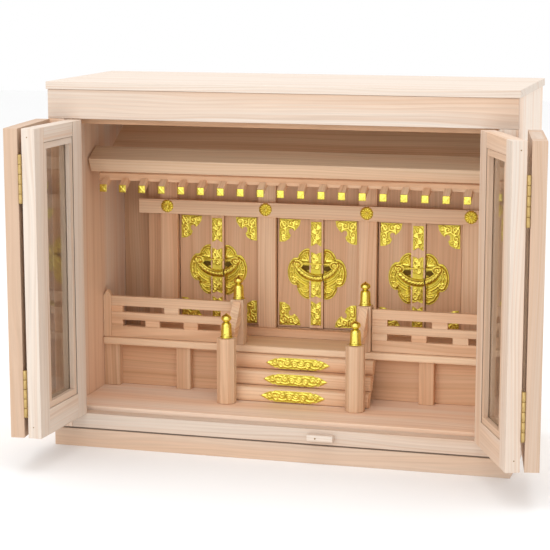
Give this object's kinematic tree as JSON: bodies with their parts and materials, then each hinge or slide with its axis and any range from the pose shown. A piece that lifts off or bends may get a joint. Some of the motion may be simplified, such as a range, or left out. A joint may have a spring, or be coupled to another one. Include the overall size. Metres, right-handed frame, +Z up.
{
  "type": "household altar cabinet",
  "caption": "Pale wooden household altar cabinet with folding glazed doors and a small shrine front inside, with double doors, roof, veranda and stairs.",
  "frame": {"origin": "middle of the underside of the plinth, below the centre of the box without its doors", "axes": "+X to the right seen from the front, +Y to the back, +Z up; the front faces -Y"},
  "size_m": [0.665, 0.3747, 0.476],
  "materials": {
    "pale_wood": "satin",
    "warm_wood": "satin",
    "gilt_metal": "polished",
    "brass": "satin",
    "clear_glass": "clear"
  },
  "bodies": {
    "cabinet": {"back_panel": "pale_wood", "balustrade_left": "pale_wood", "balustrade_right": "pale_wood", "beam": "pale_wood", "bottom_rail": "pale_wood", "cap_front_left": "gilt_metal", "cap_front_right": "gilt_metal", "cap_rear_left": "gilt_metal", "cap_rear_right": "gilt_metal", "column_1": "pale_wood", "column_2": "pale_wood", "column_3": "pale_wood", "column_4": "pale_wood", "eave_board": "pale_wood", "facade_board": "warm_wood", "floor_board": "pale_wood", "front_fascia": "pale_wood", "handrail_left": "pale_wood", "handrail_right": "pale_wood", "lintel": "warm_wood", "newel_front_left": "pale_wood", "newel_front_right": "pale_wood", "newel_rear_left": "pale_wood", "newel_rear_right": "pale_wood", "plinth": "pale_wood", "roof_with_rafters": "pale_wood", "side_wall_left": "pale_wood", "side_wall_right": "pale_wood", "sill_rail": "pale_wood", "skirting": "warm_wood", "step_1": "pale_wood", "step_2": "pale_wood", "step_3": "pale_wood", "top_board": "pale_wood", "veranda_deck": "pale_wood", "wall_hinge_left_lower": "brass", "wall_hinge_left_upper": "brass", "wall_hinge_right_lower": "brass", "wall_hinge_right_upper": "brass"},
    "left_inner_door": {"door_left_inner": "pale_wood", "glass_left_inner": "clear_glass", "fold_hinge_left_lower": "brass", "fold_hinge_left_upper": "brass"},
    "left_outer_door": {"door_left_outer": "pale_wood", "glass_left_outer": "clear_glass"},
    "right_inner_door": {"door_right_inner": "pale_wood", "glass_right_inner": "clear_glass", "fold_hinge_right_lower": "brass", "fold_hinge_right_upper": "brass"},
    "right_outer_door": {"door_right_outer": "pale_wood", "glass_right_outer": "clear_glass"},
    "button": {"turn_button": "pale_wood"},
    "left_shrine_leaf_a": {"leaf_left_a": "pale_wood"},
    "left_shrine_leaf_b": {"leaf_left_b": "pale_wood"},
    "middle_shrine_leaf_a": {"leaf_middle_a": "pale_wood"},
    "middle_shrine_leaf_b": {"leaf_middle_b": "pale_wood"},
    "right_shrine_leaf_a": {"leaf_right_a": "pale_wood"},
    "right_shrine_leaf_b": {"leaf_right_b": "pale_wood"}
  },
  "joints": [
    {"name": "left_door_hinge", "type": "hinge", "parent": "cabinet", "child": "left_inner_door", "pos_m": [-0.2745, -0.1155, 0.237], "axis": [0, 0, 1], "range_deg": [0, 92.9]},
    {"name": "left_fold_hinge", "type": "hinge", "parent": "left_inner_door", "child": "left_outer_door", "pos_m": [-0.28104, -0.25255, 0.237], "axis": [0, 0, 1], "range_deg": [0, 171]},
    {"name": "right_door_hinge", "type": "hinge", "parent": "cabinet", "child": "right_inner_door", "pos_m": [0.2745, -0.1155, 0.237], "axis": [0, 0, 1], "range_deg": [-114, 0]},
    {"name": "right_fold_hinge", "type": "hinge", "parent": "right_inner_door", "child": "right_outer_door", "pos_m": [0.32994, -0.241, 0.237], "axis": [0, 0, 1], "range_deg": [-165.5, 0]},
    {"name": "button_turn", "type": "hinge", "parent": "cabinet", "child": "button", "pos_m": [0.0547, -0.1164, 0.0352], "axis": [0, -1, 0], "continuous": true},
    {"name": "left_leaf_a_hinge", "type": "hinge", "parent": "cabinet", "child": "left_shrine_leaf_a", "pos_m": [-0.1954, 0.0954, 0.2063], "axis": [0, 0, 1], "range_deg": [-72, 0]},
    {"name": "left_leaf_b_hinge", "type": "hinge", "parent": "cabinet", "child": "left_shrine_leaf_b", "pos_m": [-0.081, 0.0954, 0.2063], "axis": [0, 0, 1], "range_deg": [0, 72]},
    {"name": "middle_leaf_a_hinge", "type": "hinge", "parent": "cabinet", "child": "middle_shrine_leaf_a", "pos_m": [-0.0544, 0.0954, 0.2063], "axis": [0, 0, 1], "range_deg": [-72, 0]},
    {"name": "middle_leaf_b_hinge", "type": "hinge", "parent": "cabinet", "child": "middle_shrine_leaf_b", "pos_m": [0.06, 0.0954, 0.2063], "axis": [0, 0, 1], "range_deg": [0, 72]},
    {"name": "right_leaf_a_hinge", "type": "hinge", "parent": "cabinet", "child": "right_shrine_leaf_a", "pos_m": [0.0866, 0.0954, 0.2063], "axis": [0, 0, 1], "range_deg": [-52, 0]},
    {"name": "right_leaf_b_hinge", "type": "hinge", "parent": "cabinet", "child": "right_shrine_leaf_b", "pos_m": [0.201, 0.0954, 0.2063], "axis": [0, 0, 1], "range_deg": [0, 72]}
  ]
}
